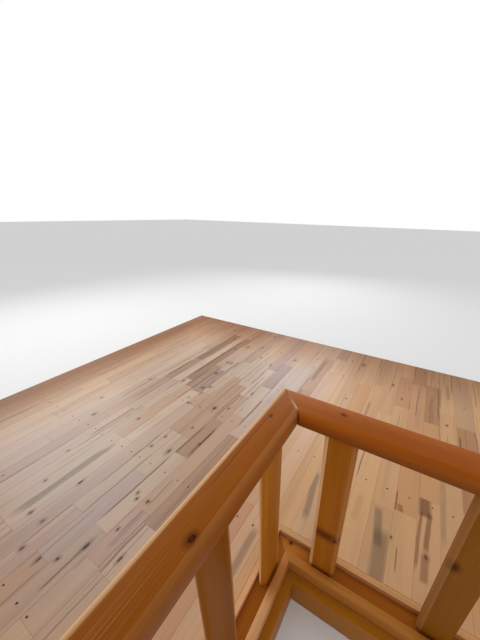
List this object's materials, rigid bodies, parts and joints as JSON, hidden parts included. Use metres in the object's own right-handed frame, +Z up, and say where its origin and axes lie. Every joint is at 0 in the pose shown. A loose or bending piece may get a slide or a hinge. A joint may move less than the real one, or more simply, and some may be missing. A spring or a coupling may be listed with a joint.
{
  "type": "loft deck with stair opening and guard rail",
  "caption": "Boarded loft floor on joists, with a corner stair opening edged by nosing strips and guarded by an L-shaped pine handrail on flat balusters.",
  "frame": {"origin": "centre of the deck's bounding box at the underside of the joists", "axes": "+Z up, +Y along the house towards the gable, +X across the house towards the wall beside the stair opening"},
  "size_m": [2.51, 2.97, 0.713],
  "materials": {
    "rail_pine": "satin varnish",
    "baluster_pine": "satin varnish",
    "sole_pine": "satin varnish",
    "nosing_pine": "satin varnish, worn",
    "lipping_pine": "satin varnish",
    "fascia_pine": "satin varnish",
    "floor_pine": "matt varnish, grey and brown strips",
    "frame_timber": "sawn"
  },
  "bodies": {
    "root": {"handrail_long": "rail_pine", "handrail_cross": "rail_pine", "baluster_long_1": "baluster_pine", "baluster_long_2": "baluster_pine", "baluster_long_3": "baluster_pine", "baluster_long_4": "baluster_pine", "baluster_long_5": "baluster_pine", "baluster_long_6": "baluster_pine", "baluster_long_7": "baluster_pine", "baluster_cross_1": "baluster_pine", "baluster_cross_2": "baluster_pine", "baluster_cross_3": "baluster_pine", "sole_long": "sole_pine", "sole_cross": "sole_pine", "nosing_long": "nosing_pine", "nosing_cross": "nosing_pine", "lipping_long": "lipping_pine", "lipping_cross": "lipping_pine", "fascia_long": "fascia_pine", "fascia_cross": "fascia_pine", "floor_far": "floor_pine", "floor_near": "floor_pine", "trimmer_long": "frame_timber", "trimmer_cross": "frame_timber", "rim_left": "frame_timber", "rim_right": "frame_timber", "rim_far": "frame_timber", "rim_near": "frame_timber", "joist_far_1": "frame_timber", "joist_far_2": "frame_timber", "joist_far_3": "frame_timber", "joist_near_1": "frame_timber", "joist_near_2": "frame_timber"}
  },
  "joints": []
}
